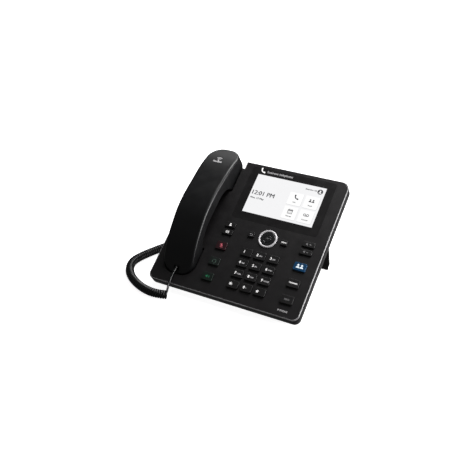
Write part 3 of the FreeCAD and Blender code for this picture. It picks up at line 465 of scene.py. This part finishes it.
def box_line(x, y, width, height, line):
    """The outline of a rectangle."""
    left, right, low, high = x - width / 2, x + width / 2, y - height / 2, y + height / 2
    return (bar(left, low, right, low, line) + bar(left, high, right, high, line)
            + bar(left, low, left, high, line) + bar(right, low, right, high, line))


def handset_icon():
    ends = rounded(-2.6, 0.9, 1.9, 1.5, 0.4) + rounded(2.6, 0.9, 1.9, 1.5, 0.4)
    return arc(0, 3.2, 3.6, 1.1, 222, 318) + ends


def person_icon(x=0.0, y=0.0, grow=1.0):
    head = dot(x, y + 1.25 * grow, 1.05 * grow)
    shoulders = [arc_points(x, y - 1.9 * grow, 1.9 * grow, 0, 180)]
    return head + shoulders


def people_icon():
    return person_icon(-1.7, 0.1, 0.85) + person_icon(1.7, 0.1, 0.85)


def calendar_icon():
    days = [shape for x in (-1.3, 0, 1.3) for y in (-0.4, -1.5) for shape in dot(x, y, 0.3)]
    return (box_line(0, -0.3, 5, 4.6, 0.5) + bar(-2.4, 1.1, 2.4, 1.1, 0.8) + bar(-1.3, 2.3, -1.3, 2.9, 0.5)
            + bar(1.3, 2.3, 1.3, 2.9, 0.5) + days)


def voicemail_icon():
    return arc(-1.7, 0, 1.2, 0.6, 0, 360) + arc(1.7, 0, 1.2, 0.6, 0, 360) + bar(-1.7, -1.2, 1.7, -1.2, 0.6)


def envelope_icon():
    return (box_line(0, 0, 4.2, 2.8, 0.45) + bar(-2, 1.3, 0, -0.1, 0.4) + bar(2, 1.3, 0, -0.1, 0.4))


def mute_icon():
    return (bar(0, 2, 0, 0.4, 1.5) + arc(0, 0.5, 1.6, 0.4, 180, 360) + bar(0, -1.2, 0, -2, 0.4)
            + bar(-1, -2.2, 1, -2.2, 0.4) + bar(-2.1, 2.4, 2.1, -2.2, 0.45))


def headset_icon():
    return (arc(0, 0, 2.2, 0.5, 0, 180) + bar(-2.2, -0.2, -2.2, -1.2, 1.1) + bar(2.2, -0.2, 2.2, -1.2, 1.1)
            + arc(0.4, -1.2, 1.8, 0.4, 270, 350) + dot(0.2, -3.0, 0.45))


def speaker_icon():
    cone = [[(-2.4, -0.8), (-1.4, -0.8), (0, -2), (0, 2), (-1.4, 0.8), (-2.4, 0.8)]]
    return cone + arc(0, 0, 1.3, 0.4, -45, 45) + arc(0, 0, 2.3, 0.4, -45, 45)


def back_icon():
    head = [[(-2.6, 0.7), (-1.1, 2.0), (-1.1, -0.6)]]
    return (head + bar(-1.3, 0.7, 1.0, 0.7, 0.6) + arc(1.0, -0.6, 1.3, 0.6, -90, 90)
            + bar(1.0, -1.9, -1.2, -1.9, 0.6))


def volume_icon(louder):
    body = [[(-2.9, -0.6), (-2.1, -0.6), (-1.0, -1.5), (-1.0, 1.5), (-2.1, 0.6), (-2.9, 0.6)]]
    plus = bar(2, -0.9, 2, 0.9, 0.45) if louder else []
    return body + bar(1.1, 0, 2.9, 0, 0.45) + plus


def wave_icon():
    return dot(0, -1.4, 0.55) + arc(0, -1.4, 1.5, 0.45, 45, 135) + arc(0, -1.4, 2.6, 0.45, 45, 135)


CAPITAL_SHARE = 0.73  # a capital's height as a share of the font's size


def letters(words, height, bold):
    """A mesh of lettering 1 mm thick, of that capital height, about its own middle."""
    data = bpy.data.curves.new("words", "FONT")
    data.body = words
    data.size = height / CAPITAL_SHARE
    data.align_x = "CENTER"
    data.align_y = "CENTER"
    data.extrude = 0.5
    data.offset = bold
    data.resolution_u = 4
    carrier = bpy.data.objects.new("words", data)
    mesh = bpy.data.meshes.new_from_object(carrier)
    bpy.data.objects.remove(carrier)
    bpy.data.curves.remove(data)
    return mesh


APART = 0.04  # crossing shapes end at heights that differ by this share of their thickness


class Marking:
    """Flat raised shapes on one surface, gathered into one mesh in the face's millimetres."""

    def __init__(self, name, thick=0.12):
        self.name = name
        self.thick = thick
        self.mesh = bmesh.new()

    def draw(self, shapes, u, v, w, grow=1.0, turn=0.0):
        cos, sin = math.cos(math.radians(turn)) * grow, math.sin(math.radians(turn)) * grow
        for i, outline in enumerate(shapes):
            top = w + self.thick * (1 + APART * i)
            flat = [(u + x * cos - y * sin, v + x * sin + y * cos) for x, y in outline]
            upper = [self.mesh.verts.new((*point, top)) for point in flat]
            lower = [self.mesh.verts.new((*point, w)) for point in flat]
            self.mesh.faces.new(upper)
            self.mesh.faces.new(list(reversed(lower)))
            for k in range(len(flat)):
                after = (k + 1) % len(flat)
                self.mesh.faces.new((lower[k], lower[after], upper[after], upper[k]))

    def write(self, words, height, u, v, w, bold, align="CENTER"):
        # Thickening breaks the font's M, so words with one are written twice side by side instead.
        doubled = "M" in words
        copies = ((-bold, 1), (bold, 1 + APART)) if doubled else ((0, 1),)
        for aside, thick in copies:
            mesh = letters(words, height, 0 if doubled else bold)
            places = [vertex.co for vertex in mesh.vertices]
            start = {"LEFT": min(p.x for p in places), "RIGHT": max(p.x for p in places)}.get(align, 0)
            thick *= self.thick
            mesh.transform(Matrix.Translation((u - start + aside, v, w + thick / 2))
                           @ Matrix.Diagonal((1, 1, thick, 1)))
            self.mesh.from_mesh(mesh)
            bpy.data.meshes.remove(mesh)

    def finish(self, material, body):
        data = bpy.data.meshes.new(self.name)
        bmesh.ops.recalc_face_normals(self.mesh, faces=self.mesh.faces)
        self.mesh.to_mesh(data)
        self.mesh.free()
        data.transform(FACE)
        made = add(self.name, data)
        made.data.materials.append(material)
        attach(made, body)
        return made


# What each dial key shows beside its digit or symbol.
DIAL_LETTERS = {"0": "+", "2": "ABC", "3": "DEF", "4": "GHI", "5": "JKL", "6": "MNO", "7": "PQRS",
                "8": "TUV", "9": "WXYZ", "star": "-"}
DIAL_WORDS = [*"1234567890", "star", "hash"]
SYMBOLS = {"star": "*", "hash": "#"}
DIGIT_LEFT = 3.3
DIGIT_HEIGHT = 3.8
STAR_HEIGHT = 7.5
STAR_DROP = 2.0
LETTERS_LEFT = 0.9
LETTERS_DROP = 0.4
LETTERS_HEIGHT = 1.9


def key_top(key):
    """The middle of a key's top, as u, v and w."""
    low, high = face_box(key)
    return (low.x + high.x) / 2, (low.y + high.y) / 2, high.z


def make_key_marks(inks):
    for word in DIAL_WORDS:
        key = f"key_{word}"
        u, v, w = key_top(key)
        height, drop = (STAR_HEIGHT, STAR_DROP) if word == "star" else (DIGIT_HEIGHT, 0)
        marking = Marking(f"legend_{key}")
        marking.write(SYMBOLS.get(word, word), height, u - DIGIT_LEFT, v - drop, w, bold=0.14)
        marking.finish(inks["white"], key)
        if word in DIAL_LETTERS:
            marking = Marking(f"letters_{key}")
            marking.write(DIAL_LETTERS[word], LETTERS_HEIGHT, u - LETTERS_LEFT, v - LETTERS_DROP, w,
                          bold=0.12, align="LEFT")
            marking.finish(inks["silver"], key)
    icons = {
        "voicemail_key": (envelope_icon(), "white", 1.0),
        "contacts_key": (person_icon(), "white", 1.0),
        "mute_key": (mute_icon(), "red", 1.2),
        "headset_key": (headset_icon(), "green_grey", 1.1),
        "speaker_key": (speaker_icon(), "green", 1.2),
        "back_key": (back_icon(), "grey", 1.0),
        "volume_up_key": (volume_icon(True), "grey", 1.25),
        "volume_down_key": (volume_icon(False), "grey", 1.25),
        "meeting_key": (people_icon(), "bright", 1.6),
    }
    for key, (shapes, colour, grow) in icons.items():
        marking = Marking(f"legend_{key}")
        marking.draw(shapes, *key_top(key), grow)
        marking.finish(inks[colour], key)
    captions = {
        "menu_key": ("MENU", 2.0, "white"),
        "hold_key": ("HOLD", 2.0, "grey"),
        "transfer_key": ("TRANSFER", 1.9, "white"),
        "ok_button": ("OK", 1.7, "grey"),
    }
    for key, (words, height, colour) in captions.items():
        marking = Marking(f"legend_{key}")
        marking.write(words, height, *key_top(key), bold=0.07)
        marking.finish(inks[colour], key)


# ---- the display ----

SCREEN_WIDTH = 108
SCREEN_HEIGHT = 64.8
TILE_WIDTH = 21.4
TILE_HEIGHT = 20.6
LAYER = 0.1  # the thickness of the panel and of the tiles on it
HANDSET_TURN = -48  # degrees by which the drawn handset leans


def make_display(inks, finishes):
    """The picture on the display: the time, four tiles and a status line, all generic."""
    module_low, module_high = face_box("lcd_module")
    middle = (module_low + module_high) / 2
    _, lens_high = face_box("display_lens")
    u0, v0, level = middle.x, middle.y, lens_high.z
    right, top = SCREEN_WIDTH / 2, SCREEN_HEIGHT / 2
    panel = Marking("screen_picture", thick=LAYER)
    panel.draw([[(-right, -top), (right, -top), (right, top), (-right, top)]], u0, v0, level)
    panel.finish(finishes["screen"], "desk_unit")
    level += LAYER
    shades = Marking("screen_tile_shades", thick=0.05)
    tiles = Marking("screen_tiles", thick=LAYER)
    icons = Marking("screen_icons", thick=0.08)
    drawings = [(15.4, 5.2, handset_icon(), "Calls", HANDSET_TURN), (39.8, 5.2, people_icon(), "People", 0),
                (15.4, -18.2, calendar_icon(), "Calendar", 0),
                (39.8, -18.2, voicemail_icon(), "Voicemail", 0)]
    for x, y, shapes, words, turn in drawings:
        shades.draw(rounded(0.15, -0.35, TILE_WIDTH + 0.5, TILE_HEIGHT + 0.5, 1.4), u0 + x, v0 + y, level)
        tiles.draw(rounded(0, 0, TILE_WIDTH, TILE_HEIGHT, 1.2), u0 + x, v0 + y, level)
        icons.draw(shapes, u0 + x, v0 + y + 2.4, level + LAYER, 1.35, turn)
        icons.write(words, 1.8, u0 + x, v0 + y - 5.4, level + LAYER, bold=0.06)
    icons.write("12:01 PM", 7.2, u0 - 51, v0 + 1.4, level, bold=0.2, align="LEFT")
    icons.write("Mon, 12 May", 3.0, u0 - 51, v0 - 7.2, level, bold=0.14, align="LEFT")
    icons.write("Extension 104", 2.2, u0 + 41.4, v0 + 25.2, level, bold=0.08, align="RIGHT")
    icons.draw(dot(0, 0, 4.1), u0 + 46.4, v0 + 24.9, level)
    shades.finish(inks["shade"], "desk_unit")
    tiles.finish(inks["tile"], "desk_unit")
    icons.finish(inks["text"], "desk_unit")
    badge = Marking("screen_avatar", thick=0.05)
    badge.draw(person_icon(grow=1.15), u0 + 46.4, v0 + 24.7, level + 0.08)
    badge.finish(inks["tile"], "desk_unit")


def make_face_marks(inks):
    _, lens_high = face_box("display_lens")
    header = Marking("header_mark")
    header.draw(handset_icon(), -17.5, 208, lens_high.z, 1.5, HANDSET_TURN)
    header.finish(inks["white"], "desk_unit")
    words = Marking("header_words")
    words.write("business telephone", 3.9, -9.3, 207.7, lens_high.z, bold=0.1, align="LEFT")
    words.finish(inks["silver"], "desk_unit")
    label = Marking("corner_label")
    label.write("IP PHONE", 2.4, 91.8, 9.3, 0, bold=0.1)
    label.finish(inks["print"], "desk_unit")


SIGN_START = 40  # the height above the face from which the handset's sign is laid down
SIGN_GAP = 0.01


def make_handset_mark(inks):
    """An earpiece sign on the handset's back, laid on its curved surface."""
    shell = nodes["handset_back_shell"].data
    tree = BVHTree.FromPolygons([vertex.co for vertex in shell.vertices],
                                [tuple(polygon.vertices) for polygon in shell.polygons])
    sign = Marking("handset_sign", thick=0.1)
    sign.draw(wave_icon(), -79.8, 199.8, SIGN_START, 2.2)
    sign.write("handset", 3.3, -79.8, 193.6, SIGN_START, bold=0.16)
    made = sign.finish(inks["print"], "handset")
    for vertex in made.data.vertices:
        above = (FACE_BACK @ vertex.co).z - SIGN_START
        place, _, _, _ = tree.ray_cast(vertex.co, -OUT)
        vertex.co = place + OUT * (above + SIGN_GAP) * MM


# ---- the plug in the desk unit ----

def make_plug(finishes):
    """The modular plug in its CAD box: a body, a spring latch and a tapered sleeve, all with eased edges."""
    low, high = face_box("cord_plug_base")
    middle, size = (low + high) / 2, high - low
    made = bmesh.new()

    def part(width, height, depth, y, z, taper=1.0):
        block = bmesh.ops.create_cube(made, size=1)["verts"]
        for vertex in block:
            narrow = taper if vertex.co.z < 0 else 1
            vertex.co = Vector((vertex.co.x * width * narrow, y + vertex.co.y * height * narrow,
                                z + vertex.co.z * depth))
        edges = list({edge for vertex in block for edge in vertex.link_edges})
        bmesh.ops.bevel(made, geom=edges, offset=min(width, height, depth) * 0.12, segments=2,
                        affect="EDGES")

    part(size.x - 0.2, size.y - 1.3, size.z - 2.4, -0.6, 1.0)
    part(3.2, 0.6, size.z - 3.5, size.y / 2 - 0.7, 0.8)
    part(4.2, 3.6, 2.2, -0.4, 1.1 - size.z / 2, 0.8)
    data = bpy.data.meshes.new("plug_base")
    made.to_mesh(data)
    made.free()
    data.transform(FACE @ Matrix.Translation(middle))
    plug = add("plug_base", data)
    plug.data.materials.append(finishes["plug_clear"])
    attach(plug, "desk_unit")
    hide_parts("cord_plug_base")


# ---- stage ----

WORLD = 0.09
FLOOR_GLOW = 0.92
FLOOR_REACH = 8
BACKDROP_RADIUS = 12
LIGHTS_AIM = Vector((0, 0, 0.05))
# Each softbox's name, place and diameter in metres, and power in watts.
SOFTBOXES = [("key_light", (0.25, 0.75, 1.45), 1.0, 27), ("side_light", (1.3, 0.25, 0.3), 0.8, 22),
             ("back_light", (-0.55, 1.2, 0.95), 0.8, 3)]


def stage_piece(name, made, material):
    """A part of the studio that shows to the camera and is left out of the phone's light and reflections."""
    mesh = bpy.data.meshes.new(name)
    made.to_mesh(mesh)
    made.free()
    piece = add(name, mesh)
    piece.data.materials.append(material)
    piece.visible_diffuse = False
    piece.visible_glossy = False
    return piece


def make_stage():
    material, _, shader = node_tree("floor")
    put(shader, {"Base Color": (0.9, 0.9, 0.9, 1), "Roughness": 0.9, "Emission Color": (1, 1, 1, 1),
                 "Emission Strength": FLOOR_GLOW})
    made = bmesh.new()
    bmesh.ops.create_grid(made, x_segments=1, y_segments=1, size=FLOOR_REACH)
    stage_piece("floor", made, material)
    made = bmesh.new()
    bmesh.ops.create_uvsphere(made, u_segments=32, v_segments=16, radius=BACKDROP_RADIUS)
    backdrop = stage_piece("backdrop", made, material)
    backdrop.visible_transmission = False
    backdrop.visible_shadow = False
    world = bpy.data.worlds.new("studio")
    world.use_nodes = True
    put(world.node_tree.nodes["Background"], {"Color": (1, 1, 1, 1), "Strength": WORLD})
    bpy.context.scene.world = world
    for name, place, size, power in SOFTBOXES:
        data = bpy.data.lights.new(name, "AREA")
        data.shape = "DISK"
        data.size = size
        data.energy = power
        light = add(name, data)
        light.location = place
        light.rotation_euler = (LIGHTS_AIM - light.location).to_track_quat("-Z", "Y").to_euler()
    bpy.context.scene.view_settings.view_transform = "Standard"


make_camera()
finishes = make_materials()
make_cord(finishes)
slots = {part["node"]: part["material_slot"] for part in frame["record"]["subparts"]}
for name, slot in slots.items():
    nodes[name].data.materials.clear()
    nodes[name].data.materials.append(finishes[slot])
# This CAD solid is the plug and the cord's boot in one. It shows the boot's black, not its slot's clear
# plastic; on the plug, which fills the handset's doorway, the black is painted shade for the dark doorway.
nodes["cord_plug_handset"].data.materials[0] = finishes["cord_jacket"]
inks = make_inks()
make_key_marks(inks)
make_display(inks, finishes)
make_face_marks(inks)
make_handset_mark(inks)
make_plug(finishes)
make_stage()
